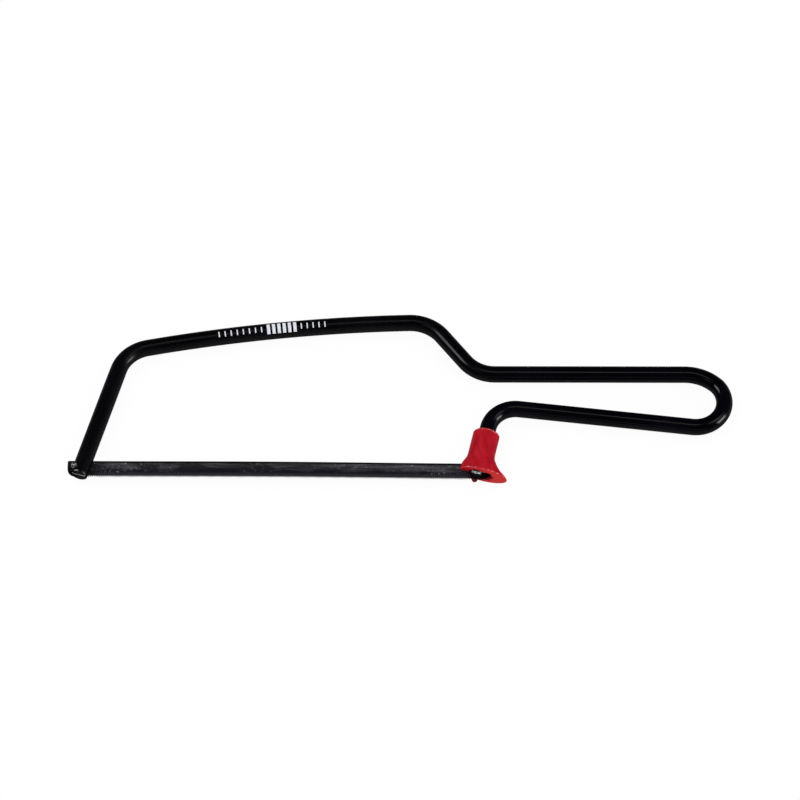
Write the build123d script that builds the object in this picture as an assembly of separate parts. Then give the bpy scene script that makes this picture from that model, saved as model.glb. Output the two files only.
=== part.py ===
from build123d import *
import math
import os

# Junior hacksaw: a pin-ended blade held in tension by a bow bent from one spring-steel rod.
# The saw is modelled lying on its side: X runs along the blade towards the handle, Y runs from
# the teeth towards the bow's top bar and Z is up. The working origin is the front blade pin's
# centre; the finished pieces are moved so that the origin is the middle of the box's underside.

# ---- Driving dimensions (mm, degrees) ----

# Bow rod and its plastic coat
rod_diameter = 5.0
coat_thickness = 0.42
front_lean = 16.2          # front arm, from upright
rear_lean = 12.0           # rear leg, from upright
front_corner = (49.2, 13.4)        # height of the corner point, bend radius
top_bow = (71.2, 60.7, 547.0)      # X, Y, bend radius of the top bar's gentle bow
upper_shoulder = (126.2, 62.6, 14.4)
lower_shoulder = (143.2, 40.6, 13.3)
handle_back_upper = (225.2, 41.1, 16.2)
handle_back_lower = (248.1, 15.85, 10.5)
grip_front = (27.0, 10.0)          # height of the bend's corner point, bend radius
front_end_length = 2.6     # rod past the front pin's centre
rear_end_length = 2.0      # rod past the rear pin's centre
bare_rear_length = 8.0     # rod left without coat at the rear end
end_chamfer = 0.35
slot_width = 0.9
slot_above_pin = 5.8

# Blade and its two pins
pin_spacing = 146.0
blade_height = 6.0
blade_thickness = 0.65
blade_tail = 2.5           # blade past each pin's centre
blade_heel_radius = 3.0    # round lower corner at each end
blade_spine_chamfer = 0.4
teeth_per_inch = 32
tooth_depth = 0.5
toothless_end = 6.0        # plain edge left at each end
pin_radius = 1.1
pin_length = 4.6
pin_offset = 2.33          # from the rod's centreline to the pin's centre
seat_clearance = 0.02
hook_ramp = 13.0           # rear notch's lower side, from the rod's axis

# Finger guard, moulded in one piece over the rear leg (heights along the leg, from the pin's level)
guard_thickness = 8.2      # in Z
guard_top = 15.7
guard_rim_radius = 1.2
guard_bore_clearance = 0.02
flare_stations = [         # height, front edge, rear edge, crest where the outline is thickest
    (6.4, -4.8, 4.8, 0.0),
    (5.0, -4.85, 5.15, 0.2),
    (3.9, -5.0, 5.75, 0.4),
    (2.8, -5.5, 6.4, 0.8),
    (1.7, -6.05, 7.2, 1.2),
    (0.6, -6.4, 8.0, 1.6),
    (-0.4, -6.55, 9.15, 2.0),
    (-1.4, -6.6, 10.45, 2.4),
    (-2.4, -6.65, 11.3, 2.6),
    (-3.6, -6.7, 11.9, 2.6),
]
sole_front = (-6.6, -1.65)         # across the leg, along the leg
sole_rear = (11.2, -2.5)
sole_edge_radius = 0.45
pocket_ceiling = 3.6       # above the pins' line
pocket_rear = 148.6        # X of the pocket's rear end
pocket_width = 4.8
pocket_corner_radius = 1.3
slit_rear = 149.3          # X where the slit for the blade ends
slit_width = 1.4
nub_radius = 1.05
nub_place = (-0.2, -2.45, -3.0)    # across the leg, along the leg, Z

# Flex of the bow, taken at the middle of the front corner
knuckle_radius = 3.6
knuckle_gap = 0.03

# ---- Derived places ----

rod_radius = rod_diameter / 2
coat_radius = rod_radius + coat_thickness
tooth_pitch = 25.4 / teeth_per_inch
front_slope = math.radians(front_lean)
rear_slope = math.radians(rear_lean)
cut_length = 40.0          # longer than any piece is thick


def front_axis(height):
    """X of the front arm's centreline at a height above the pins' line."""
    return pin_offset / math.cos(front_slope) + height * math.tan(front_slope)


def rear_axis(height):
    """X of the rear leg's centreline at a height above the pins' line."""
    return pin_spacing - pin_offset / math.cos(rear_slope) + height * math.tan(rear_slope)


# Frames on the two rod ends: X across the rod, Y up along it, origin beside the pin's centre
front_foot = Location((pin_offset * math.cos(front_slope), -pin_offset * math.sin(front_slope), 0),
                      (0, 0, -front_lean))
rear_foot = Location((pin_spacing - pin_offset * math.cos(rear_slope),
                      pin_offset * math.sin(rear_slope), 0), (0, 0, -rear_lean))


def bow_path(front_length, rear_length):
    """Centreline of the rod, from a length past the front pin to a length past the rear pin."""
    front_end = (front_foot * Pos(0, -front_length, 0)).position
    rear_end = (rear_foot * Pos(0, -rear_length, 0)).position
    corner_height, corner_radius = front_corner
    grip_height, grip_radius = grip_front
    bends = [top_bow, upper_shoulder, lower_shoulder, handle_back_upper, handle_back_lower]
    points = [(front_end.X, front_end.Y), (front_axis(corner_height), corner_height)]
    points += [(x, y) for x, y, radius in bends]
    points += [(rear_axis(grip_height), grip_height), (rear_end.X, rear_end.Y)]
    radii = [corner_radius] + [radius for x, y, radius in bends] + [grip_radius]
    return FilletPolyline(*points, radius=radii)


def swept_rod(radius, front_length, rear_length):
    path = bow_path(front_length, rear_length)
    section = Plane(origin=path @ 0, z_dir=path % 0) * Circle(radius)
    return sweep(section, path=path)


def box_between(low, high, width):
    """Box with opposite corners low and high in its plane, width thick about Z = 0."""
    centre = Pos((low[0] + high[0]) / 2, (low[1] + high[1]) / 2, 0)
    return centre * Box(high[0] - low[0], high[1] - low[1], width)


# ---- Bow ----

def end_slot():
    """Saw cut that the blade lies in, in a foot's frame."""
    return box_between((-cut_length, -cut_length), (cut_length, slot_above_pin), slot_width)


def front_notch():
    """Round-bottomed notch for the front pin, open away from the handle, in the front foot's frame."""
    radius = pin_radius + seat_clearance
    seat = Pos(-pin_offset, 0, 0) * Cylinder(radius, cut_length)
    mouth = box_between((-cut_length, -radius), (-pin_offset, radius), cut_length)
    return seat + mouth


def rear_notch():
    """Hooked notch for the rear pin: a square upper side and a shallow ramp below the seat."""
    radius = pin_radius + seat_clearance
    ramp = math.radians(hook_ramp)
    seat = Pos(pin_offset, 0, 0) * Cylinder(radius, cut_length)
    ramp_top = (pin_offset - radius * math.cos(ramp), -radius * math.sin(ramp))
    drop = 10.0
    outline = Polyline(
        (pin_offset, radius),
        (cut_length, radius),
        (cut_length, ramp_top[1] - drop),
        (ramp_top[0] + drop * math.tan(ramp), ramp_top[1] - drop),
        ramp_top,
        (pin_offset, 0),
        close=True,
    )
    mouth = extrude(make_face(outline), amount=cut_length / 2, both=True)
    return seat + mouth


def knuckle_centre():
    """Middle of the front corner's bend, on the rod's centreline."""
    path = bow_path(front_end_length, rear_end_length)
    bend = path.edges().sort_by(Axis.X)
    arcs = [edge for edge in bend if edge.geom_type == GeomType.CIRCLE]
    return arcs[0] @ 0.5, arcs[0] % 0.5


def split_at_knuckle(rod):
    """The rod's front arm and its remainder, parted by a cylinder about the flex axis."""
    centre, along = knuckle_centre()
    if along.Y < 0:
        along = -along
    angle = math.degrees(math.atan2(along.Y, along.X))
    arm_side = Location(centre, (0, 0, angle)) * box_between((-90, -90), (0, 90), cut_length)
    knuckle = Pos(centre) * Cylinder(knuckle_radius, cut_length)
    clear_knuckle = Pos(centre) * Cylinder(knuckle_radius + knuckle_gap, cut_length)
    arm = (rod & arm_side) + (rod & knuckle)
    rest = rod - arm_side - clear_knuckle
    return arm, rest


def make_rods():
    rod = swept_rod(rod_radius, front_end_length, rear_end_length)
    ends = rod.faces().filter_by(GeomType.PLANE).edges()
    rod = chamfer(ends, end_chamfer)
    for foot, notch in ((front_foot, front_notch()), (rear_foot, rear_notch())):
        rod -= foot * end_slot()
        rod -= foot * notch
    return split_at_knuckle(rod)


def make_coats():
    front_length = front_end_length - end_chamfer
    rear_length = rear_end_length - bare_rear_length
    coat = swept_rod(coat_radius, front_length, rear_length)
    coat -= swept_rod(rod_radius, front_length + 1, rear_length + 1)
    coat -= front_foot * end_slot()
    coat -= front_foot * front_notch()
    return split_at_knuckle(coat)


# ---- Blade ----

def make_blade():
    """Strip with round heels and raked teeth that point away from the handle."""
    half = blade_height / 2
    left = -blade_tail
    right = pin_spacing + blade_tail
    heel = blade_heel_radius
    chamfer_size = blade_spine_chamfer
    first_tooth = left + toothless_end
    last_tooth = right - toothless_end
    count = int((last_tooth - first_tooth) / tooth_pitch)
    points = [(left + heel, -half), (first_tooth, -half)]
    for index in range(count):
        tip = first_tooth + index * tooth_pitch
        points.append((tip + 0.1 * tooth_pitch, -half + tooth_depth))
        points.append((tip + tooth_pitch, -half))
    points.append((right - heel, -half))
    edge = Polyline(*points)
    rear_heel = RadiusArc((right - heel, -half), (right, -half + heel), -heel)
    spine = Polyline(
        (right, -half + heel),
        (right, half - chamfer_size),
        (right - chamfer_size, half),
        (left + chamfer_size, half),
        (left, half - chamfer_size),
        (left, -half + heel),
    )
    front_heel = RadiusArc((left, -half + heel), (left + heel, -half), -heel)
    outline = Wire([*edge.edges(), *rear_heel.edges(), *spine.edges(), *front_heel.edges()])
    blade = extrude(make_face(outline), amount=blade_thickness / 2, both=True)
    for x in (0, pin_spacing):
        blade -= Pos(x, 0, 0) * Cylinder(pin_radius, cut_length)
    return blade


def make_pin(x):
    pin = Cylinder(pin_radius, pin_length)
    pin = chamfer(pin.edges().filter_by(GeomType.CIRCLE), 0.2)
    return Pos(x, 0, 0) * pin


# ---- Finger guard ----

def guard_section(height, front, rear, crest):
    """Outline across the leg: two half-ellipses that meet at the crest, in the rear foot's frame."""
    half = guard_thickness / 2
    front_half = EllipticalCenterArc((0, 0), crest - front, half, start_angle=90, arc_size=180)
    rear_half = EllipticalCenterArc((0, 0), rear - crest, half, start_angle=270, arc_size=180)
    plane = Plane(origin=(crest, height, 0), x_dir=(1, 0, 0), z_dir=(0, 1, 0))
    return plane * make_face([front_half, rear_half])


def make_finger_guard():
    top_station = flare_stations[0]
    tube = extrude(guard_section(*top_station), amount=guard_top - top_station[0])
    tube = fillet(tube.faces().sort_by(Axis.Y)[-1].edges(), guard_rim_radius)
    flare = loft([guard_section(*station) for station in flare_stations])
    sole_angle = math.degrees(math.atan2(sole_rear[1] - sole_front[1], sole_rear[0] - sole_front[0]))
    below_sole = Location((*sole_front, 0), (0, 0, sole_angle)) * box_between((-90, -90), (90, 0), 90)
    flare -= below_sole
    sole = flare.faces().sort_by(Axis.Y)[0]
    flare = fillet(sole.edges(), sole_edge_radius)
    guard = tube + flare
    guard += Pos(nub_place) * Rot(0, 90, 0) * Sphere(nub_radius)

    bore_radius = coat_radius + guard_bore_clearance
    bore = Rot(90, 0, 0) * Cylinder(bore_radius, 4 * cut_length)
    guard = rear_foot * (guard - bore)

    # Pocket for the blade's rear pin behind the bore, and a slit for the blade from front to rear
    leg = rear_axis(0)
    pocket = box_between((leg, -cut_length), (pocket_rear, pocket_ceiling), pocket_width)
    rear_edges = pocket.edges().filter_by(Axis.Y).group_by(Axis.X)[-1]
    pocket = fillet(rear_edges, pocket_corner_radius)
    slit = box_between((leg - cut_length, -cut_length), (slit_rear, pocket_ceiling), slit_width)
    return guard - pocket - slit


# ---- Assembly ----

def main():
    front_rod, bow_rod = make_rods()
    front_coat, bow_coat = make_coats()
    pieces = {
        "bow_rod": bow_rod,
        "bow_coat": bow_coat,
        "front_arm_rod": front_rod,
        "front_arm_coat": front_coat,
        "blade": make_blade(),
        "front_pin": make_pin(0),
        "rear_pin": make_pin(pin_spacing),
        "finger_guard": make_finger_guard(),
    }
    solids = [solid for piece in pieces.values() for solid in piece.solids()]
    box = Compound(solids).bounding_box()
    to_origin = Pos(-(box.min.X + box.max.X) / 2, -(box.min.Y + box.max.Y) / 2, -box.min.Z)
    os.makedirs("parts", exist_ok=True)
    for name, piece in pieces.items():
        export_step(to_origin * piece, f"parts/{name}.step")
    centre, along = knuckle_centre()
    print("front pin", to_origin.position)
    print("flex axis", to_origin.position + centre)
    print("box", box.size)


main()
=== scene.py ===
"""Junior hacksaw: looks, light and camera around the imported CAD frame.

The saw lies on its side: X runs along the blade towards the handle, Y from the teeth towards the
bow's top bar, Z up. Sizes are in metres and places are taken from the frame's pins and boxes.
"""

import math

import bmesh
import bpy
from mathutils import Matrix, Vector


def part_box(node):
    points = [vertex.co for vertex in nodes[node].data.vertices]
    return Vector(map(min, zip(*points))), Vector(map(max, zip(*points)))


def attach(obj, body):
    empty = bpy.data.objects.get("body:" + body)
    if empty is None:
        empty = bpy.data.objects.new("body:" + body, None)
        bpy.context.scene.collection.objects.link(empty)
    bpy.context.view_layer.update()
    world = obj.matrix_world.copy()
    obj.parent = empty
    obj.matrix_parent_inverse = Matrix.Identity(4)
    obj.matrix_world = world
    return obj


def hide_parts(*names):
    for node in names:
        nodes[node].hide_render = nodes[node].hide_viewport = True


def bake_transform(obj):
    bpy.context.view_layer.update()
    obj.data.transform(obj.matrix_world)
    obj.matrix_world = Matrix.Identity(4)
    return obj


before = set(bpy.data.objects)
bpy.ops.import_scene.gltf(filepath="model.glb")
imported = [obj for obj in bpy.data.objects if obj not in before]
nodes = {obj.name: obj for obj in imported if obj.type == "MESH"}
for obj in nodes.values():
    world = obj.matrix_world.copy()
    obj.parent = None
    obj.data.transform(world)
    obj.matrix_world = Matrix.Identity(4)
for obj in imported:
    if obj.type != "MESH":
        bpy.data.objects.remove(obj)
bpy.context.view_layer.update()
scene = bpy.context.scene

MM = 0.001
QUARTER_TURN = math.pi / 2
REST_PLACE = "rest_place"


def node_centre(name):
    low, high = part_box(name)
    return (Vector(low) + Vector(high)) / 2


FRONT_PIN = node_centre("front_pin")
REAR_PIN = node_centre("rear_pin")
PIN_SPACING = (REAR_PIN - FRONT_PIN).length
MID_PLANE = FRONT_PIN.z

# Rod and coat; the ends are distances past the pins' centres along the rod
ROD_RADIUS = 2.5 * MM
COAT_RADIUS = 2.97 * MM
PIN_OFFSET = 2.33 * MM
FRONT_LEAN = math.radians(16.2)
REAR_LEAN = math.radians(12.0)
FRONT_END = 2.6 * MM
COAT_FRONT_END = FRONT_END - 0.35 * MM
REAR_COAT_END = -6.0 * MM
SLOT_WIDTH = 0.9 * MM
SLOT_ABOVE_PIN = 5.8 * MM
NOTCH_RADIUS = 1.12 * MM

# Blade: its top, bottom and tail are measured from the pins' centres
BLADE_TOP = 2.8 * MM
BLADE_BOTTOM = -3.5 * MM
BLADE_THICKNESS = 0.65 * MM
BLADE_TAIL = 2.5 * MM
HEEL_RADIUS = 3.0 * MM
SPINE_CHAMFER = 0.4 * MM
TOOTHLESS_END = 6.0 * MM
TOOTH_PITCH = 25.4 * MM / 32
TOOTH_DEPTH = 0.6 * MM
# Shares of a tooth's pitch: the gullet's flat floor, and where the flat tip begins
GULLET_START = 0.12
GULLET_END = 0.28
TIP_START = 0.82

# Pins
PIN_RADIUS = 1.1 * MM
PIN_LENGTH = 4.6 * MM


# ---- Helpers ----

def link(name, mesh):
    piece = bpy.data.objects.new(name, mesh)
    scene.collection.objects.link(piece)
    return piece


def mesh_piece(name, verts, faces):
    mesh = bpy.data.meshes.new(name)
    mesh.from_pydata(verts, [], faces)
    mesh.validate()
    mesh.update()
    return link(name, mesh)


def smooth(piece, sharp_degrees=35):
    mesh = piece.data
    mesh.polygons.foreach_set("use_smooth", [True] * len(mesh.polygons))
    mesh.set_sharp_from_angle(angle=math.radians(sharp_degrees))


def recalc_normals(piece):
    shell = bmesh.new()
    shell.from_mesh(piece.data)
    bmesh.ops.recalc_face_normals(shell, faces=shell.faces)
    shell.to_mesh(piece.data)
    shell.free()


def cut(piece, tool, operation="DIFFERENCE"):
    """Takes tool's shape out of piece, or joins it on with UNION, and deletes tool."""
    recalc_normals(tool)
    step = piece.modifiers.new("cut", "BOOLEAN")
    step.operation = operation
    step.solver = "EXACT"
    step.object = tool
    graph = bpy.context.evaluated_depsgraph_get()
    mesh = bpy.data.meshes.new_from_object(piece.evaluated_get(graph))
    piece.modifiers.clear()
    old = piece.data
    piece.data = mesh
    bpy.data.meshes.remove(old)
    bpy.data.objects.remove(tool)


def ring_faces(rings, sides, first=0):
    """Quads between each ring of vertices and the next, where the first ring starts at vertex first."""
    faces = []
    for ring in range(rings - 1):
        one = first + ring * sides
        for side in range(sides):
            after = (side + 1) % sides
            faces.append((one + side, one + sides + side, one + sides + after, one + after))
    return faces


def end_caps(count, sides):
    """The two faces that close a tube of count vertices at its first and last rings."""
    return [tuple(range(sides)), tuple(range(count - sides, count))]


def prism_cutter(low, high):
    """Closed solid between two outlines with equally many points."""
    sides = len(low)
    return mesh_piece("cutter", low + high, ring_faces(2, sides) + end_caps(2 * sides, sides))


def box_cutter(low, high):
    outline = [(low[0], low[1]), (high[0], low[1]), (high[0], high[1]), (low[0], high[1])]
    return prism_cutter([(x, y, low[2]) for x, y in outline], [(x, y, high[2]) for x, y in outline])


def circle(radius, z, sides):
    turns = [2 * math.pi * side / sides for side in range(sides)]
    return [(radius * math.cos(turn), radius * math.sin(turn), z) for turn in turns]


def post_cutter(radius, half_height, sides=48):
    """Upright round post about the origin."""
    return prism_cutter(circle(radius, -half_height, sides), circle(radius, half_height, sides))


def place(piece, matrix):
    piece.data.transform(matrix)
    return piece


def keep_rest_place(piece):
    """Stores where each point lies at rest, so that a finish stays put when the piece bends."""
    places = [value for vertex in piece.data.vertices for value in vertex.co]
    kept = piece.data.attributes.new(REST_PLACE, "FLOAT_VECTOR", "POINT")
    kept.data.foreach_set("vector", places)


# Frames on the two rod ends: X across the rod, Y up along it, origin beside the pin's centre
FRONT_FOOT = Matrix.Translation(
    FRONT_PIN + PIN_OFFSET * Vector((math.cos(FRONT_LEAN), -math.sin(FRONT_LEAN), 0))
) @ Matrix.Rotation(-FRONT_LEAN, 4, "Z")
REAR_FOOT = Matrix.Translation(
    REAR_PIN + PIN_OFFSET * Vector((-math.cos(REAR_LEAN), math.sin(REAR_LEAN), 0))
) @ Matrix.Rotation(-REAR_LEAN, 4, "Z")

# The guard's sole, as two places in the rear foot's frame: Y is square to the sole there
SOLE_FRONT = Vector((-6.3 * MM, -1.67 * MM, 0))
SOLE_REAR = Vector((11.2 * MM, -2.5 * MM, 0))
SOLE_FRAME = REAR_FOOT @ Matrix.Translation(SOLE_FRONT) @ Matrix.Rotation(
    math.atan2(SOLE_REAR.y - SOLE_FRONT.y, SOLE_REAR.x - SOLE_FRONT.x), 4, "Z"
)


# ---- Materials ----

class Shader:
    """A material's node tree, with short calls for the nodes that the finishes here use."""

    def __init__(self, name, bends=False):
        """bends is for a piece that bends across a joint, and has kept its places at rest."""
        self.material = bpy.data.materials.new(name)
        self.material.use_nodes = True
        self.tree = self.material.node_tree
        self.surface = self.tree.nodes["Principled BSDF"]
        if bends:
            node = self.tree.nodes.new("ShaderNodeAttribute")
            node.attribute_name = REST_PLACE
            self.place = node.outputs["Vector"]
        else:
            self.place = self.tree.nodes.new("ShaderNodeTexCoord").outputs["Object"]

    def set(self, socket, value):
        self.surface.inputs[socket].default_value = value

    def join(self, output, socket):
        self.tree.links.new(output, socket)

    def drive(self, output, socket):
        self.join(output, self.surface.inputs[socket])

    def stretched(self, scale):
        node = self.tree.nodes.new("ShaderNodeMapping")
        node.inputs["Scale"].default_value = scale
        self.join(self.place, node.inputs["Vector"])
        return node.outputs["Vector"]

    def noise(self, size, detail=3.0, rough=0.5, scale=(1, 1, 1), distortion=0.0):
        """Noise whose features are about size metres across."""
        node = self.tree.nodes.new("ShaderNodeTexNoise")
        node.inputs["Scale"].default_value = 1 / size
        node.inputs["Detail"].default_value = detail
        node.inputs["Roughness"].default_value = rough
        node.inputs["Distortion"].default_value = distortion
        self.join(self.stretched(scale), node.inputs["Vector"])
        return node.outputs["Fac"]

    def cells(self, size, scale=(1, 1, 1)):
        """Distance to the nearest of points that lie about size metres apart, in cell sizes."""
        node = self.tree.nodes.new("ShaderNodeTexVoronoi")
        node.inputs["Scale"].default_value = 1 / size
        self.join(self.stretched(scale), node.inputs["Vector"])
        return node.outputs["Distance"]

    def ramp(self, source, low, high, start=0.0, end=1.0):
        node = self.tree.nodes.new("ShaderNodeMapRange")
        node.inputs["From Min"].default_value = low
        node.inputs["From Max"].default_value = high
        node.inputs["To Min"].default_value = start
        node.inputs["To Max"].default_value = end
        self.join(source, node.inputs["Value"])
        return node.outputs["Result"]

    def mix(self, amount, first, second):
        node = self.tree.nodes.new("ShaderNodeMix")
        node.data_type = "RGBA"
        for value, socket in ((amount, node.inputs[0]), (first, node.inputs[6]), (second, node.inputs[7])):
            if isinstance(value, bpy.types.NodeSocket):
                self.join(value, socket)
            else:
                socket.default_value = value
        return node.outputs[2]

    def math(self, operation, first, second):
        node = self.tree.nodes.new("ShaderNodeMath")
        node.operation = operation
        for value, socket in zip((first, second), node.inputs):
            if isinstance(value, bpy.types.NodeSocket):
                self.join(value, socket)
            else:
                socket.default_value = value
        return node.outputs[0]

    def height_along(self, matrix):
        """How far along a frame's Y axis each point lies."""
        row = matrix.inverted()[1]
        node = self.tree.nodes.new("ShaderNodeVectorMath")
        node.operation = "DOT_PRODUCT"
        node.inputs[1].default_value = row[:3]
        self.join(self.place, node.inputs[0])
        return self.math("ADD", node.outputs["Value"], row[3])

    def across(self, matrix):
        """How far along a frame's X axis each point lies."""
        return self.height_along(matrix @ Matrix.Rotation(-QUARTER_TURN, 4, "Z"))

    def band(self, source, middle, width):
        """1 in a band about the middle, falling to 0 at its edges."""
        off = self.math("ABSOLUTE", self.math("SUBTRACT", source, middle), 0)
        return self.ramp(off, width / 2, width / 4)

    def tooth_phase(self):
        """Sweeps from -0.5 to 0.5 over each tooth of the blade."""
        first = FRONT_PIN.x - BLADE_TAIL + TOOTHLESS_END
        turns = self.math("DIVIDE", self.math("SUBTRACT", self.axis("X"), first), TOOTH_PITCH)
        return self.math("SUBTRACT", self.math("FRACT", turns, 0), 0.5)

    def axis(self, letter):
        node = self.tree.nodes.new("ShaderNodeSeparateXYZ")
        self.join(self.place, node.inputs[0])
        return node.outputs[letter]

    def bump(self, height, strength, distance):
        node = self.tree.nodes.new("ShaderNodeBump")
        node.inputs["Strength"].default_value = strength
        node.inputs["Distance"].default_value = distance
        self.join(height, node.inputs["Height"])
        previous = self.surface.inputs["Normal"]
        if previous.is_linked:
            self.join(previous.links[0].from_socket, node.inputs["Normal"])
        self.join(node.outputs["Normal"], previous)


def grey(value):
    return (value, value, value, 1)


# Linear colours
COAT_BLACK = (0.0008, 0.0005, 0.0015, 1)
COAT_VIOLET = (0.0020, 0.0014, 0.0032, 1)
CRIMSON_DEEP = (0.31, 0.0010, 0.0080, 1)
CRIMSON = (0.44, 0.0025, 0.0125, 1)
SOLE_RED = (0.34, 0.0025, 0.012, 1)
# Painted light and shade on the guard: the sole's lit orange, the shade below the sole, and the rims'
# highlight and glints
SOLE_LIT_ORANGE = (0.53, 0.020, 0.020, 1)
UNDER_SOLE_SHADE_RED = (0.22, 0.002, 0.008, 1)
RIM_HIGHLIGHT_RED = (0.80, 0.09, 0.09, 1)
RIM_GLINT_PINK = (0.92, 0.60, 0.60, 1)
BLADE_VIOLET = (0.0054, 0.0042, 0.0102, 1)
BLADE_BROWN = (0.0108, 0.0098, 0.0130, 1)
SMUDGE_GREY = (0.075, 0.076, 0.084, 1)
STREAK_GREY = (0.078, 0.076, 0.084, 1)
HAZE_GREY = (0.070, 0.072, 0.080, 1)
SPECK_GREY = (0.28, 0.285, 0.29, 1)
# Painted light and shade on the teeth: shaded gullets and lit facets
GULLET_SHADE_BLACK = (0.0015, 0.0013, 0.0026, 1)
FACET_LIT_GREY = (0.050, 0.048, 0.056, 1)
# Black for the spine, also used for the painted shadow by the front arm and the painted shade inside the
# guard
SPINE_AND_SHADE_BLACK = (0.0010, 0.0009, 0.0016, 1)
ROD_END_BLACK = (0.003, 0.003, 0.005, 1)
INK_WHITE = (0.66, 0.68, 0.74, 1)

# Heights above the sole, and up the rear leg, of the guard's two rims
SOLE_RIM = 0.45 * MM
TOP_RIM = 15.0 * MM


def painted_lip_highlight(coat):
    """Painted highlight: how far the coat is painted paler on two stretches of its front lip, where it
    faces up.
    """
    lip = coat.band(coat.height_along(FRONT_FOOT), -FRONT_END + 0.36 * MM, 0.38 * MM)
    across = coat.across(FRONT_FOOT)
    far_lip_sheen = coat.math("MULTIPLY", coat.band(across, 2.0 * MM, 1.3 * MM), 0.4)
    lip_sheen_stretches = coat.math("MAXIMUM", coat.band(across, -0.85 * MM, 1.8 * MM), far_lip_sheen)
    upper_side = coat.ramp(coat.axis("Z"), MID_PLANE + 1.1 * MM, MID_PLANE + 1.6 * MM)
    return coat.math("MULTIPLY", lip, coat.math("MULTIPLY", lip_sheen_stretches, upper_side))


def coat_finish():
    """Black dip coat: faint orange peel, dust, a painted highlight on its front lip, glossiest where it is
    handled.
    """
    coat = Shader("black_coat", bends=True)
    rubbed = coat.noise(14 * MM, detail=4)
    dust = coat.ramp(coat.cells(2.6 * MM), 0.03, 0.015)
    shade = coat.mix(coat.ramp(rubbed, 0.4, 0.7), COAT_BLACK, COAT_VIOLET)
    shade = coat.mix(coat.ramp(dust, 0, 1, 0, 0.3), shade, grey(0.03))
    # Painted highlight: the front lip is painted pale grey where it faces up and catches the light.
    coat.drive(coat.mix(painted_lip_highlight(coat), shade, grey(0.22)), "Base Color")
    handled = coat.ramp(coat.axis("X"), 0.0, 45 * MM, 0.12, 0.0)
    coat.drive(coat.math("ADD", coat.ramp(rubbed, 0.3, 0.75, 0.11, 0.17), handled), "Roughness")
    coat.set("Specular IOR Level", 0.5)
    coat.bump(coat.noise(1.4 * MM, detail=1), 0.08, 0.04 * MM)
    coat.bump(coat.noise(7 * MM, detail=2), 0.25, 0.06 * MM)
    return coat.material


def guard_finish():
    """Glossy crimson moulding with flow marks; painted light makes its sole brighter and more orange,
    painted shade darkens it below the sole, and painted highlights and glints run along its rims.
    """
    guard = Shader("red_plastic")
    flow = guard.noise(4.5 * MM, detail=4, scale=(1.5, 0.6, 1.5), distortion=0.8)
    fine = guard.noise(0.5 * MM, detail=2)
    rim_glint_specks = guard.ramp(guard.noise(0.42 * MM, detail=3, rough=0.6), 0.56, 0.66)
    above_sole = guard.height_along(SOLE_FRAME)
    side = guard.mix(guard.ramp(flow, 0.35, 0.7), CRIMSON_DEEP, CRIMSON)
    # Painted light: the sole turns brighter and more orange towards its rear, as lit from the front.
    sole = guard.mix(guard.ramp(guard.across(SOLE_FRAME), 2 * MM, 11 * MM), SOLE_RED, SOLE_LIT_ORANGE)
    # Painted shade: below the sole, over the nub, the red is painted darker.
    sole = guard.mix(guard.ramp(above_sole, -0.3 * MM, -0.8 * MM), sole, UNDER_SOLE_SHADE_RED)
    red = guard.mix(guard.ramp(above_sole, SOLE_RIM, 0.1 * MM), side, sole)
    top_rim = guard.band(guard.height_along(REAR_FOOT), TOP_RIM, 1.4 * MM)
    rims = guard.math("ADD", guard.band(above_sole, SOLE_RIM, 0.5 * MM), top_rim)
    # Painted highlight: a paler red along both rims, where their rounded edges catch the light.
    worn = guard.math("MULTIPLY", rims, guard.ramp(fine, 0.4, 0.65))
    painted_rim_glints = guard.math("MULTIPLY", rims, rim_glint_specks)
    red = guard.mix(guard.ramp(worn, 0, 1, 0, 0.4), red, RIM_HIGHLIGHT_RED)
    # Painted glints: pale pink specks along the rims.
    guard.drive(guard.mix(guard.ramp(painted_rim_glints, 0, 1, 0, 0.85), red, RIM_GLINT_PINK), "Base Color")
    guard.drive(guard.ramp(flow, 0.3, 0.7, 0.20, 0.30), "Roughness")
    guard.set("Specular IOR Level", 0.3)
    guard.bump(fine, 0.12, 0.04 * MM)
    guard.bump(flow, 0.35, 0.14 * MM)
    return guard.material


def blade_flat_colour(blade, level, smudge, streak, grain):
    """Brown above and violet towards the teeth, with smudges, drawn streaks, haze rearward and specks."""
    wander = blade.ramp(smudge, 0.3, 0.7, -0.8 * MM, 0.8 * MM)
    upper_part = blade.ramp(blade.math("ADD", level, wander), -1.4 * MM, 0.6 * MM)
    colour = blade.mix(upper_part, BLADE_VIOLET, BLADE_BROWN)
    smudged = blade.math("MULTIPLY", blade.ramp(smudge, 0.52, 0.66, 0, 0.75), upper_part)
    colour = blade.mix(smudged, colour, SMUDGE_GREY)
    drawn = blade.math("MULTIPLY", blade.ramp(streak, 0.54, 0.7, 0, 0.6), upper_part)
    colour = blade.mix(drawn, colour, STREAK_GREY)
    rearward = blade.math("MULTIPLY", blade.ramp(blade.axis("X"), -45 * MM, -22 * MM), upper_part)
    hazy = blade.math("MULTIPLY", blade.ramp(streak, 0.36, 0.62, 0.05, 0.6), rearward)
    colour = blade.mix(hazy, colour, HAZE_GREY)
    rubbed = blade.ramp(blade.noise(26 * MM, detail=2), 0.44, 0.58)
    patches = blade.math("MAXIMUM", rubbed, blade.ramp(rearward, 0, 1, 0, 0.8))
    specks = blade.math("MULTIPLY", blade.ramp(grain, 0.58, 0.70, 0, 0.85), patches)
    return blade.mix(specks, colour, SPECK_GREY)


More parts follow.
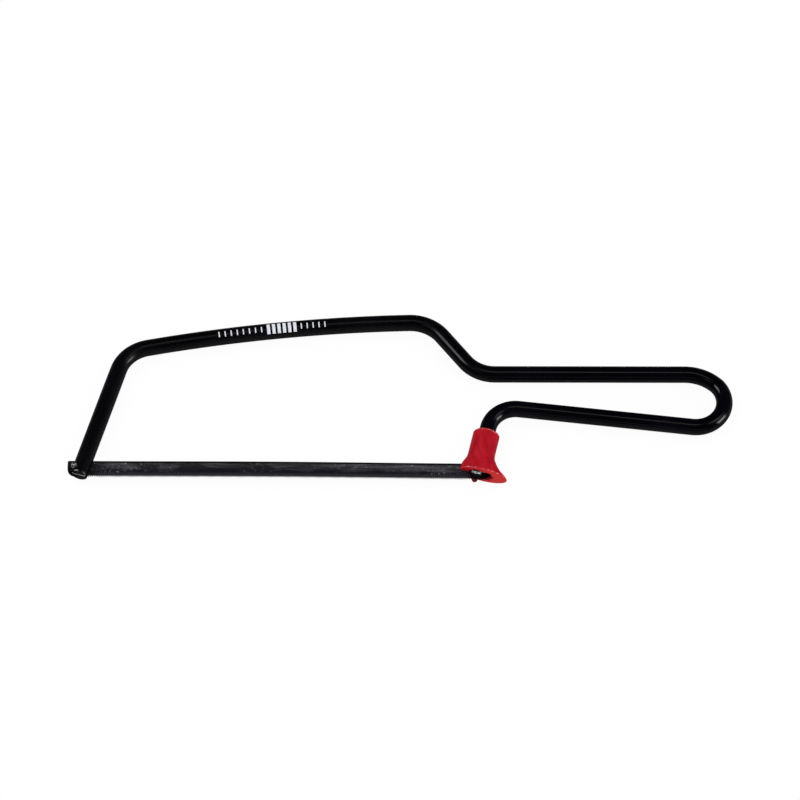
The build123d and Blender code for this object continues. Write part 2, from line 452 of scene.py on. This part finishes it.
def blade_with_teeth(blade, level, colour):
    """Adds the teeth's painted light and shade: gullets painted dark as shade between facets painted paler
    as lit, past the plain heel.
    """
    # Painted shade in each gullet and painted light on each facet, one of each per tooth.
    facet_light_and_shade = blade.ramp(blade.math("ABSOLUTE", blade.tooth_phase(), 0), 0.22, 0.36)
    facet_light_and_shade = blade.mix(facet_light_and_shade, GULLET_SHADE_BLACK, FACET_LIT_GREY)
    past_heel = FRONT_PIN.x - BLADE_TAIL + TOOTHLESS_END
    toothed = blade.ramp(blade.axis("X"), past_heel, past_heel + 0.1 * MM)
    tooth_row = blade.ramp(level, -1.7 * MM, -2.3 * MM)
    return blade.mix(blade.math("MULTIPLY", toothed, tooth_row), colour, facet_light_and_shade)


def blade_blacked_and_shaded(blade, level, colour):
    """Adds the black along the spine, a painted shadow about the front arm and painted shade inside the
    guard.
    """
    from_arm = blade.math("SUBTRACT", blade.axis("X"), FRONT_PIN.x + 1.4 * MM)
    # Painted shadow: the blade is painted darker on either side of the front arm.
    arm_shadow = blade.ramp(blade.math("ABSOLUTE", from_arm, 0), 8.0 * MM, 4.5 * MM, 0, 0.75)
    # Painted shade: the blade is painted black where it runs into the guard.
    guard_shade = blade.ramp(blade.axis("X"), REAR_PIN.x - 6.5 * MM, REAR_PIN.x - 4.5 * MM)
    spine = blade.ramp(level, 1.95 * MM, 2.15 * MM)
    black = blade.math("MAXIMUM", spine, blade.math("MAXIMUM", arm_shadow, guard_shade))
    return blade.mix(black, colour, SPINE_AND_SHADE_BLACK)


def blade_finish():
    """Blue-black tempered strip, rubbed and smudged."""
    blade = Shader("tempered_steel")
    smudge = blade.noise(6 * MM, detail=5, rough=0.62, scale=(0.5, 1.5, 1))
    streak = blade.noise(1.6 * MM, detail=4, scale=(0.12, 2.2, 1))
    grain = blade.noise(0.75 * MM, detail=4, rough=0.7, scale=(0.8, 1.1, 1), distortion=0.4)
    level = blade.math("SUBTRACT", blade.axis("Y"), REAR_PIN.y)
    colour = blade_flat_colour(blade, level, smudge, streak, grain)
    colour = blade_with_teeth(blade, level, colour)
    blade.drive(blade_blacked_and_shaded(blade, level, colour), "Base Color")
    blade.set("Specular IOR Level", 0.25)
    blade.drive(blade.ramp(smudge, 0.3, 0.7, 0.45, 0.33), "Roughness")
    blade.bump(grain, 0.35, 0.03 * MM)
    blade.bump(streak, 0.3, 0.03 * MM)
    return blade.material


def cut_steel_finish():
    """The rod's sheared rear end: dark, with bright glints painted on in torn specks towards its rear and
    its middle.
    """
    steel = Shader("sheared_steel")
    torn = steel.noise(0.7 * MM, detail=3, scale=(1, 0.6, 1.5))
    level = steel.math("SUBTRACT", steel.axis("Z"), MID_PLANE)
    # Painted glints: torn specks towards the rear and middle of the end are painted near white.
    rearward = steel.ramp(steel.across(REAR_FOOT), -1.9 * MM, -1.0 * MM)
    glint_place = steel.math("MULTIPLY", rearward, steel.ramp(level, 2.1 * MM, 1.5 * MM))
    painted_glints = steel.math("MULTIPLY", steel.ramp(torn, 0.46, 0.54), glint_place)
    steel.drive(steel.mix(painted_glints, grey(0.010), grey(0.95)), "Base Color")
    steel.set("Metallic", 0.15)
    steel.drive(steel.ramp(torn, 0.3, 0.7, 0.45, 0.25), "Roughness")
    steel.bump(torn, 0.8, 0.15 * MM)
    return steel.material


def pin_finish():
    """Pressed-in pins: dark oily steel with bright glints painted on in spots."""
    steel = Shader("pin_steel")
    rubbed = steel.noise(0.7 * MM, detail=4, rough=0.6)
    # Painted glints: where the noise runs high the steel is painted near white.
    steel.drive(steel.mix(steel.ramp(rubbed, 0.5, 0.64), grey(0.012), grey(0.9)), "Base Color")
    steel.set("Metallic", 0.3)
    steel.drive(steel.ramp(rubbed, 0.3, 0.7, 0.4, 0.22), "Roughness")
    steel.bump(rubbed, 0.4, 0.06 * MM)
    return steel.material


def front_rod_finish():
    """The front arm's steel: its cut end is blacked over, but for a bright burr along the slot."""
    steel = Shader("blacked_steel")
    along = steel.height_along(FRONT_FOOT)
    level = steel.math("SUBTRACT", steel.axis("Z"), MID_PLANE)
    stain = steel.noise(1.1 * MM, detail=4)
    end = steel.ramp(along, -FRONT_END + 0.55 * MM, -FRONT_END + 0.5 * MM)
    burr = steel.band(level, SLOT_WIDTH / 2 + 0.1 * MM, 0.62 * MM)
    rubbed = steel.math("MULTIPLY", burr, steel.ramp(stain, 0.25, 0.42, 0.4, 1))
    bare = steel.mix(steel.ramp(stain, 0.4, 0.7), grey(0.45), grey(0.25))
    steel.drive(steel.mix(steel.math("SUBTRACT", end, rubbed), bare, ROD_END_BLACK), "Base Color")
    steel.drive(steel.ramp(stain, 0.3, 0.7, 0.3, 0.5), "Roughness")
    steel.set("Metallic", 0.1)
    steel.bump(stain, 0.5, 0.08 * MM)
    return steel.material


def ink_finish():
    """White printing ink, a little worn through to the black."""
    ink = Shader("white_ink")
    wear = ink.noise(0.45 * MM, detail=3, rough=0.6)
    ink.drive(ink.mix(ink.ramp(wear, 0.56, 0.72, 0, 0.7), INK_WHITE, grey(0.08)), "Base Color")
    ink.set("Roughness", 0.45)
    ink.bump(wear, 0.2, 0.01 * MM)
    return ink.material


# ---- Rod centreline ----

def pin_relative(x, y):
    return Vector((FRONT_PIN.x + x * MM, FRONT_PIN.y + y * MM))


def front_axis(height):
    return PIN_OFFSET / MM / math.cos(FRONT_LEAN) + height * math.tan(FRONT_LEAN)


def rear_axis(height):
    return (PIN_SPACING - PIN_OFFSET / math.cos(REAR_LEAN)) / MM + height * math.tan(REAR_LEAN)


# Corner points of the centreline in mm from the front pin, each with its bend's radius
BENDS = [
    (front_axis(49.2), 49.2, 13.4),
    (71.2, 60.7, 547.0),
    (126.2, 62.6, 14.4),
    (143.2, 40.6, 13.3),
    (225.2, 41.1, 16.2),
    (248.1, 15.85, 10.5),
    (rear_axis(27.0), 27.0, 10.0),
]
RING_STEP = 0.8 * MM


def run_stations(start, end, direction, length):
    """Stations along a straight run, from start up to but without end."""
    run = (end - start).length
    count = max(1, round(run / RING_STEP))
    shares = [step / count for step in range(count)]
    return [(start.lerp(end, share), direction, length + run * share) for share in shares]


def bend_stations(start, direction, turn, radius, length):
    """Stations round a bend that starts in a direction and turns clockwise by turn."""
    centre = start - math.copysign(radius, turn) * Vector((-direction.y, direction.x))
    arc = radius * abs(turn)
    count = max(2, round(arc / RING_STEP))
    stations = []
    for step in range(count):
        swing = Matrix.Rotation(-turn * step / count, 2)
        point = centre + swing @ (start - centre)
        stations.append((point, swing @ direction, length + arc * step / count))
    return stations


def centreline():
    """Evenly spaced (point, direction, length so far) along the coated rod, from its front end."""
    here = (FRONT_FOOT @ Vector((0, -COAT_FRONT_END, 0))).xy
    end = (REAR_FOOT @ Vector((0, -REAR_COAT_END, 0))).xy
    corners = [here] + [pin_relative(x, y) for x, y, radius in BENDS] + [end]
    stations = []
    length = 0.0
    for index, bend in enumerate(BENDS):
        radius = bend[2] * MM
        corner = corners[index + 1]
        incoming = (corner - corners[index]).normalized()
        outgoing = (corners[index + 2] - corner).normalized()
        turn = incoming.angle_signed(outgoing)
        setback = radius * math.tan(abs(turn) / 2)
        arc_start = corner - incoming * setback
        stations += run_stations(here, arc_start, incoming, length)
        length += (arc_start - here).length
        stations += bend_stations(arc_start, incoming, turn, radius, length)
        length += radius * abs(turn)
        here = corner + outgoing * setback
    direction = (end - here).normalized()
    stations += run_stations(here, end, direction, length)
    stations.append((end, direction, length + (end - here).length))
    return stations


STATIONS = centreline()
ROD_LENGTH = STATIONS[-1][2]


def surface_point(station, radius, turn):
    """Point on a circle round the rod: turn 0 faces the bow's outer side and 90 degrees faces up."""
    point, direction, _ = station
    outward = Vector((-direction.y, direction.x))
    flat = point + outward * radius * math.cos(turn)
    return (flat.x, flat.y, MID_PLANE + radius * math.sin(turn))


# ---- Coat ----

COAT_SIDES = 56
COAT_LIP = 0.12 * MM
LIP_STEPS = 5
THICKENED_FROM = 62 * MM
THICKENED_OVER = 30 * MM
THICKENED_BY = 0.12 * MM
# Far enough for a cutter to pass right out of a piece
FAR = 20 * MM


def coat_radius(length):
    """The dip coat runs a little thicker towards the front end, where it dripped."""
    share = min(1.0, max(0.0, (THICKENED_FROM - length) / THICKENED_OVER))
    return COAT_RADIUS + THICKENED_BY * share * share * (3 - 2 * share)


def coat_ring(station, radius):
    return [surface_point(station, radius, 2 * math.pi * side / COAT_SIDES) for side in range(COAT_SIDES)]


def coat_rings():
    """Rings round the front lip, along the outside to the rear end, and back along the inside."""
    first = STATIONS[0]
    inner = ROD_RADIUS + 0.01 * MM
    rings = [coat_ring(first, inner)]
    for step in range(LIP_STEPS):
        bend = QUARTER_TURN * step / (LIP_STEPS - 1)
        eased = (first[0] + first[1] * COAT_LIP * (1 - math.cos(bend)), first[1], 0)
        rings.append(coat_ring(eased, coat_radius(0) - COAT_LIP + COAT_LIP * math.sin(bend)))
    rings += [coat_ring(station, coat_radius(station[2])) for station in STATIONS[1:]]
    rings.append(coat_ring(STATIONS[-1], inner))
    rings += [coat_ring(station, inner) for station in reversed(STATIONS[1:-1:4])]
    return rings


def cut_pin_seat(coat):
    """Opens the coat's front end for the blade's slot and the pin's notch."""
    slot = box_cutter((-FAR, -FAR, -SLOT_WIDTH / 2), (FAR, SLOT_ABOVE_PIN, SLOT_WIDTH / 2))
    seat = place(post_cutter(NOTCH_RADIUS, FAR), Matrix.Translation((-PIN_OFFSET, 0, 0)))
    mouth = box_cutter((-FAR, -NOTCH_RADIUS, -FAR), (-PIN_OFFSET, NOTCH_RADIUS, FAR))
    for tool in (slot, seat, mouth):
        cut(coat, place(tool, FRONT_FOOT))


def bend_with_bow(coat):
    """Bakes the coat's placement into its mesh points."""
    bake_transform(coat)


def make_coat():
    rings = coat_rings()
    rings.append(rings[0])
    faces = ring_faces(len(rings), COAT_SIDES)
    count = (len(rings) - 1) * COAT_SIDES
    faces = [tuple(vertex % count for vertex in face) for face in faces]
    coat = mesh_piece("rod_coat", [vertex for ring in rings[:-1] for vertex in ring], faces)
    recalc_normals(coat)
    cut_pin_seat(coat)
    keep_rest_place(coat)
    coat.data.materials.append(coat_finish())
    smooth(coat)
    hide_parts("bow_coat", "front_arm_coat")
    bend_with_bow(coat)


# ---- Print ----

def station_at_x(x):
    """Place on the top bar's centreline at an X."""
    bar = [s for s in STATIONS if s[2] < ROD_LENGTH / 2]
    for before, after in zip(bar, bar[1:]):
        if before[0].x <= x <= after[0].x:
            share = (x - before[0].x) / (after[0].x - before[0].x)
            point = before[0].lerp(after[0], share)
            direction = before[1].lerp(after[1], share).normalized()
            return point, direction, before[2] + share * (after[2] - before[2])
    raise ValueError("no place on the top bar there")


# Each group of bars in mm: first bar's X, number of bars, pitch, width, length round the rod
PRINT_GROUPS = [
    (-66.2, 8, 2.18, 0.42, 2.1),
    (-48.8, 6, 1.9, 1.15, 4.0),
    (-36.6, 5, 2.12, 0.42, 2.1),
]
PRINT_THICKNESS = 0.02 * MM
PRINT_MIDDLE = math.radians(102)
PRINT_ROWS = 8


def bar_ring(left, right, sweep, row):
    """The four corners of a printed bar's section at one row round the rod."""
    turn = PRINT_MIDDLE + sweep * (0.5 - row / PRINT_ROWS)
    inner = COAT_RADIUS - PRINT_THICKNESS
    outer = COAT_RADIUS + PRINT_THICKNESS
    corners = ((left, inner), (right, inner), (right, outer), (left, outer))
    return [surface_point(station, radius, turn) for station, radius in corners]


def make_print():
    """Plain printed bars: a row of thin ticks, a heavy group, and another row of thin ticks."""
    verts = []
    faces = []
    rows = PRINT_ROWS + 1
    for start, count, pitch, width, tall in PRINT_GROUPS:
        for bar in range(count):
            left = station_at_x((start + pitch * bar) * MM)
            right = station_at_x((start + pitch * bar + width) * MM)
            first = len(verts)
            for row in range(rows):
                verts += bar_ring(left, right, tall * MM / COAT_RADIUS, row)
            faces += ring_faces(rows, 4, first)
            for end in (first, len(verts) - 4):
                faces.append((end, end + 1, end + 2, end + 3))
    mark = mesh_piece("print_bars", verts, faces)
    recalc_normals(mark)
    smooth(mark, 40)
    mark.data.materials.append(ink_finish())
    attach(mark, "frame")


# ---- Blade and pins ----

HEEL_STEPS = 10
TEETH_PER_WAVE = 7
SET_REACH = 0.13 * MM
BELLY = 0.45 * MM
SPINE_EASE = 0.08 * MM
# Shares of the blade's height at which its faces have rows of vertices
BLADE_LEVELS = (0.0, 0.16, 0.26, 0.5, 0.75)


def heel_points():
    """(distance from the blade's end, underside's y) round a heel, from the end inwards."""
    points = []
    for step in range(HEEL_STEPS):
        swing = QUARTER_TURN * step / HEEL_STEPS
        rise = HEEL_RADIUS * (1 - math.sin(swing))
        points.append((HEEL_RADIUS * (1 - math.cos(swing)), BLADE_BOTTOM + rise))
    return points


def blade_columns(left, right):
    """(x, underside's y, 1 at a tooth tip or 0) from the blade's front end to its rear end."""
    gullet = BLADE_BOTTOM + TOOTH_DEPTH
    first_tooth = left + TOOTHLESS_END
    columns = [(left + inward, y, 0) for inward, y in heel_points()]
    columns.append((left + HEEL_RADIUS, BLADE_BOTTOM, 0))
    columns.append((first_tooth, BLADE_BOTTOM, 1))
    for tooth in range(int((right - TOOTHLESS_END - first_tooth) / TOOTH_PITCH)):
        tip = first_tooth + tooth * TOOTH_PITCH
        columns.append((tip + GULLET_START * TOOTH_PITCH, gullet, 0))
        columns.append((tip + GULLET_END * TOOTH_PITCH, gullet, 0))
        columns.append((tip + TIP_START * TOOTH_PITCH, BLADE_BOTTOM, 1))
        columns.append((tip + TOOTH_PITCH, BLADE_BOTTOM, 1))
    columns.append((right - HEEL_RADIUS, BLADE_BOTTOM, 0))
    columns += [(right - inward, y, 0) for inward, y in reversed(heel_points())]
    return columns


def blade_ring(x, low, tip, left, right):
    """The blade's section at x as (y, z), up its near face and down its far one."""
    half = BLADE_THICKNESS / 2
    high = BLADE_TOP - max(0.0, SPINE_CHAMFER - (x - left), SPINE_CHAMFER - (right - x))
    middle = BELLY * math.sin(math.pi * min(1.0, max(0.0, x / PIN_SPACING))) ** 2
    wave = SET_REACH * tip * math.sin(2 * math.pi * x / (TEETH_PER_WAVE * TOOTH_PITCH))
    near = [(low + (high - low) * level, half, wave if level == 0 else 0) for level in BLADE_LEVELS]
    near += [(high - SPINE_EASE, half, 0), (high, half - SPINE_EASE, 0)]
    far = [(y, -z, shift) for y, z, shift in reversed(near)]
    return [(y, middle + z + shift) for y, z, shift in near + far]


def make_blade():
    """Toothed strip with wavy-set teeth, very slightly bellied between its pins as real strips are."""
    left = -BLADE_TAIL
    right = PIN_SPACING + BLADE_TAIL
    around = 2 * (len(BLADE_LEVELS) + 2)
    verts = []
    for x, low, tip in blade_columns(left, right):
        for y, z in blade_ring(x, low, tip, left, right):
            verts.append((FRONT_PIN.x + x, FRONT_PIN.y + y, MID_PLANE + z))
    faces = ring_faces(len(verts) // around, around) + end_caps(len(verts), around)
    blade = mesh_piece("toothed_blade", verts, faces)
    recalc_normals(blade)
    for pin in (FRONT_PIN, REAR_PIN):
        cut(blade, place(post_cutter(PIN_RADIUS, FAR / 2), Matrix.Translation(pin)))
    smooth(blade, 20)
    blade.data.materials.append(blade_finish())
    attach(blade, "blade")
    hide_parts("blade")


PIN_SIDES = 40
PIN_RIM = 0.28 * MM
PIN_RIM_STEPS = 6
# The dish in a pin's end: share of the radius, and depth there in mm
PIN_DISH = [(0.0, 0.16), (0.35, 0.14), (0.6, 0.03)]


def pin_profile():
    """(radius, height) from the middle of the dished upper end, round both rims, to the lower one."""
    half = PIN_LENGTH / 2
    profile = [(PIN_RADIUS * share, half - depth * MM) for share, depth in PIN_DISH]
    for step in range(PIN_RIM_STEPS):
        swing = QUARTER_TURN * step / (PIN_RIM_STEPS - 1)
        radius = PIN_RADIUS - PIN_RIM * (1 - math.sin(swing))
        profile.append((radius, half - PIN_RIM * (1 - math.cos(swing))))
    return profile + [(radius, -height) for radius, height in reversed(profile)]


def make_pin(name, node, finish):
    """Pin with rounded rims and a shallow dished end, as headed in a press."""
    profile = pin_profile()
    verts = [(0, 0, profile[0][1])]
    for radius, height in profile[1:-1]:
        verts += circle(radius, height, PIN_SIDES)
    verts.append((0, 0, profile[-1][1]))
    bottom = len(verts) - 1
    faces = ring_faces(len(profile) - 2, PIN_SIDES, 1)
    for side in range(PIN_SIDES):
        after = (side + 1) % PIN_SIDES
        faces.append((0, 1 + side, 1 + after))
        faces.append((bottom, bottom - PIN_SIDES + after, bottom - PIN_SIDES + side))
    pin = place(mesh_piece(name, verts, faces), Matrix.Translation(node_centre(node)))
    recalc_normals(pin)
    smooth(pin, 50)
    pin.data.materials.append(finish)
    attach(pin, "blade")
    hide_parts(node)


# ---- Finger guard ----

# From the top down, in mm in the rear foot's frame: height, front edge, rear edge and crest
GUARD_STATIONS = [
    (15.7, -4.8, 4.8, 0.0),
    (8.4, -4.8, 4.8, 0.0),
    (6.6, -4.8, 4.85, 0.05),
    (5.0, -4.85, 5.15, 0.2),
    (3.9, -5.05, 5.75, 0.4),
    (2.8, -5.5, 6.4, 0.8),
    (1.7, -6.0, 7.2, 1.2),
    (0.6, -6.2, 8.15, 1.6),
    (-0.4, -6.3, 9.25, 2.0),
    (-1.4, -6.34, 10.4, 2.35),
    (-2.4, -6.36, 11.2, 2.55),
    (-3.6, -6.38, 11.8, 2.6),
]
GUARD_TOP = 15.7 * MM
GUARD_HALF_THICKNESS = 4.1 * MM
GUARD_RIM_RADIUS = 1.2 * MM
SOLE_EDGE_RADIUS = 0.45 * MM
BORE_RADIUS = 3.0 * MM
POCKET_CEILING = 3.6 * MM
POCKET_REAR = 2.6 * MM
POCKET_HALF_WIDTH = 2.4 * MM
POCKET_CORNER = 1.3 * MM
POCKET_CORNER_STEPS = 8
SLIT_REAR = 3.3 * MM
SLIT_WIDTH = 1.4 * MM
NUB_RADIUS = 1.05 * MM
NUB_PLACE = Vector((-0.6 * MM, -2.45 * MM, -3.0 * MM))
GUARD_SIDES = 112
GUARD_WALL_ROWS = 44
GUARD_WALL_CROWDING = 1.3
SOLE_EDGE_STEPS = 7
SOLE_ROUNDS = 10
GUARD_RIM_STEPS = 9


def guard_section(height):
    """Front edge, rear edge and crest at a height, on smooth curves through the stations."""
    rows = [Vector(station) * MM for station in reversed(GUARD_STATIONS)]
    last = len(rows) - 2
    index = next((row for row in range(last) if height < rows[row + 1][0]), last)
    slopes = []
    for row in (index, index + 1):
        before = rows[max(row - 1, 0)]
        after = rows[min(row + 1, len(rows) - 1)]
        slopes.append((after - before) / (after[0] - before[0]))
    low = rows[index]
    high = rows[index + 1]
    span = high[0] - low[0]
    t = (height - low[0]) / span
    value = low * (2 * t ** 3 - 3 * t ** 2 + 1) + high * (3 * t ** 2 - 2 * t ** 3)
    value += slopes[0] * span * (t ** 3 - 2 * t ** 2 + t) + slopes[1] * span * (t ** 3 - t ** 2)
    return value[1], value[2], value[3]


def guard_across(height, turn, inset):
    """Place across the leg on the outline at a height: two half-ellipses that meet at the crest."""
    front, rear, crest = guard_section(height)
    reach = (rear - crest if math.cos(turn) > 0 else crest - front) - inset
    return crest + reach * math.cos(turn)


def sole_height(turn, inset):
    """Height of the slanted sole under the outline, found by closing in on where the two meet."""
    height = SOLE_FRONT.y
    slope = (SOLE_REAR.y - SOLE_FRONT.y) / (SOLE_REAR.x - SOLE_FRONT.x)
    for _ in range(SOLE_ROUNDS):
        height = SOLE_FRONT.y + slope * (guard_across(height, turn, inset) - SOLE_FRONT.x)
    return height


def guard_rings():
    """(share of the way up the wall, rise from the wall's end, inset) from the sole to the top."""
    rings = []
    for step in range(SOLE_EDGE_STEPS):
        bend = QUARTER_TURN * step / (SOLE_EDGE_STEPS - 1)
        rise = SOLE_EDGE_RADIUS * (1 - math.cos(bend))
        rings.append((0.0, rise, SOLE_EDGE_RADIUS * (1 - math.sin(bend))))
    for step in range(1, GUARD_WALL_ROWS):
        rings.append(((step / GUARD_WALL_ROWS) ** GUARD_WALL_CROWDING, SOLE_EDGE_RADIUS, 0.0))
    for step in range(GUARD_RIM_STEPS):
        bend = QUARTER_TURN * step / (GUARD_RIM_STEPS - 1)
        rings.append((1.0, GUARD_RIM_RADIUS * math.sin(bend), GUARD_RIM_RADIUS * (1 - math.cos(bend))))
    return rings


def guard_point(turn, share, rise, inset):
    """Place on the guard's outside in the rear foot's frame."""
    ceiling = GUARD_TOP - GUARD_RIM_RADIUS
    if share < 1:
        base = sole_height(turn, inset) + rise
        height = base + share * (ceiling - base)
    else:
        height = ceiling + rise
    depth = (GUARD_HALF_THICKNESS - inset) * math.sin(turn)
    return (guard_across(height, turn, inset), height, depth)


def dome(radius):
    """Ball whose poles lie on X."""
    ball = bpy.data.meshes.new("ball")
    shell = bmesh.new()
    bmesh.ops.create_uvsphere(shell, u_segments=40, v_segments=24, radius=radius)
    shell.to_mesh(ball)
    shell.free()
    return place(link("ball", ball), Matrix.Rotation(QUARTER_TURN, 4, "Y"))


def pocket_cutter(leg):
    """The pin pocket: open below, with round corners at its rear."""
    rear = REAR_PIN.x + POCKET_REAR
    outline = [(leg, -POCKET_HALF_WIDTH)]
    for start, side in ((-90, -1), (0, 1)):
        for step in range(POCKET_CORNER_STEPS + 1):
            turn = math.radians(start + 90 * step / POCKET_CORNER_STEPS)
            x = rear - POCKET_CORNER + POCKET_CORNER * math.cos(turn)
            z = side * (POCKET_HALF_WIDTH - POCKET_CORNER) + POCKET_CORNER * math.sin(turn)
            outline.append((x, z))
    outline.append((leg, POCKET_HALF_WIDTH))
    below = [(x, REAR_PIN.y - FAR, MID_PLANE + z) for x, z in outline]
    above = [(x, REAR_PIN.y + POCKET_CEILING, MID_PLANE + z) for x, z in outline]
    return prism_cutter(below, above)


def hollow_guard(guard):
    """Cuts the bore for the rod and, once the guard is on its leg, the pin's pocket and blade's slit."""
    cut(guard, place(post_cutter(BORE_RADIUS, 2 * FAR, 96), Matrix.Rotation(QUARTER_TURN, 4, "X")))
    place(guard, REAR_FOOT)
    leg = REAR_PIN.x - PIN_OFFSET / math.cos(REAR_LEAN)
    cut(guard, pocket_cutter(leg))
    slit_low = (leg - 2 * FAR, REAR_PIN.y - 2 * FAR, MID_PLANE - SLIT_WIDTH / 2)
    slit_high = (REAR_PIN.x + SLIT_REAR, REAR_PIN.y + POCKET_CEILING, MID_PLANE + SLIT_WIDTH / 2)
    cut(guard, box_cutter(slit_low, slit_high))


def make_guard():
    """Moulded guard: round above, flared over a flat sole, with a bore, a pin pocket and a blade slit."""
    turns = [2 * math.pi * side / GUARD_SIDES for side in range(GUARD_SIDES)]
    rings = guard_rings()
    verts = [guard_point(turn, *ring) for ring in rings for turn in turns]
    faces = ring_faces(len(rings), GUARD_SIDES) + end_caps(len(verts), GUARD_SIDES)
    guard = mesh_piece("moulded_guard", verts, faces)
    recalc_normals(guard)
    cut(guard, place(dome(NUB_RADIUS), Matrix.Translation(NUB_PLACE)), "UNION")
    hollow_guard(guard)
    smooth(guard, 32)
    guard.data.materials.append(guard_finish())
    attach(guard, "frame")
    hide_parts("finger_guard")


# ---- Stage, light and camera ----

FLOOR_HALF_WIDTH = 6.0
# How bright the floor and the sky are where seen, and where a glossy surface mirrors them
FLOOR_GLOW = 0.945
FLOOR_GLOW_MIRRORED = 0.06
SKY_GLOW = 1.0
SKY_GLOW_MIRRORED = 0.004
LIGHT_DISTANCE = 1.1
# Name, direction from the saw's middle, width and depth in metres, radiance
SOFTBOXES = [
    ("left_softbox", (-0.68, 0.10, 0.72), 0.42, 0.40, 2.8),
    ("overhead_softbox", (0.02, 0.04, 1.0), 0.45, 0.20, 0.55),
    ("right_softbox", (0.93, -0.25, 0.28), 0.42, 0.48, 3.9),
    ("front_softbox", (0.05, -0.95, 0.35), 1.20, 0.25, 0.10),
    ("right_fill", (0.60, -0.05, 0.80), 0.40, 0.50, 0.55),
    ("left_fill", (-0.42, -0.30, 0.85), 0.25, 0.25, 0.2),
]


def seen_in_gloss(tree, plain, mirrored, socket):
    """Gives a socket one value where it is lit or seen, and another where glossy surfaces mirror it."""
    path = tree.nodes.new("ShaderNodeLightPath")
    choice = tree.nodes.new("ShaderNodeMapRange")
    choice.inputs["To Min"].default_value = plain
    choice.inputs["To Max"].default_value = mirrored
    tree.links.new(path.outputs["Is Glossy Ray"], choice.inputs["Value"])
    tree.links.new(choice.outputs["Result"], socket)


def make_floor():
    """A white light table: it glows, so the saw's shadow on it is only just seen."""
    half = FLOOR_HALF_WIDTH
    corners = [(-half, -half, 0), (half, -half, 0), (half, half, 0), (-half, half, 0)]
    floor = mesh_piece("floor", corners, [(0, 1, 2, 3)])
    material = bpy.data.materials.new("pale_floor")
    material.use_nodes = True
    tree = material.node_tree
    surface = tree.nodes["Principled BSDF"]
    surface.inputs["Base Color"].default_value = grey(0.05)
    surface.inputs["Roughness"].default_value = 0.9
    surface.inputs["Specular IOR Level"].default_value = 0.0
    surface.inputs["Emission Color"].default_value = grey(1.0)
    seen_in_gloss(tree, FLOOR_GLOW, FLOOR_GLOW_MIRRORED, surface.inputs["Emission Strength"])
    floor.data.materials.append(material)


def make_world():
    """Even pale light from all round, which glossy surfaces barely mirror."""
    world = bpy.data.worlds.new("studio")
    scene.world = world
    world.use_nodes = True
    background = world.node_tree.nodes["Background"]
    background.inputs["Color"].default_value = grey(1.0)
    seen_in_gloss(world.node_tree, SKY_GLOW, SKY_GLOW_MIRRORED, background.inputs["Strength"])


def make_softbox(name, toward, width, depth, radiance):
    """Area light that faces the saw's middle from a direction."""
    light = bpy.data.lights.new(name, "AREA")
    light.shape = "RECTANGLE"
    light.size = width
    light.size_y = depth
    light.energy = radiance * math.pi * width * depth
    lamp = bpy.data.objects.new(name, light)
    lamp.location = Vector(toward).normalized() * LIGHT_DISTANCE
    lamp.rotation_euler = Vector(toward).to_track_quat("Z", "Y").to_euler()
    scene.collection.objects.link(lamp)


def make_camera():
    elevation = math.radians(58)
    turn = math.radians(0.46)
    frame_width = 287.0 * MM
    target = Vector((-0.5 * MM, -1.08 * MM, MID_PLANE))
    camera = bpy.data.cameras.new("camera")
    camera.lens = 300
    camera.clip_end = 50
    back = Matrix.Rotation(turn, 3, "Z") @ Vector((0, -math.cos(elevation), math.sin(elevation)))
    viewer = bpy.data.objects.new("camera", camera)
    viewer.location = target + back * frame_width * camera.lens / camera.sensor_width
    viewer.rotation_euler = (QUARTER_TURN - elevation, 0, turn)
    scene.collection.objects.link(viewer)
    scene.camera = viewer


def dress(name, material):
    mesh = nodes[name].data
    mesh.materials.clear()
    mesh.materials.append(material)


make_floor()
make_world()
for softbox in SOFTBOXES:
    make_softbox(*softbox)
make_camera()
scene.view_settings.view_transform = "Standard"
make_coat()
make_print()
make_blade()
pin_steel = pin_finish()
make_pin("front_pin_headed", "front_pin", pin_steel)
make_pin("rear_pin_headed", "rear_pin", pin_steel)
make_guard()
dress("bow_rod", cut_steel_finish())
dress("front_arm_rod", front_rod_finish())
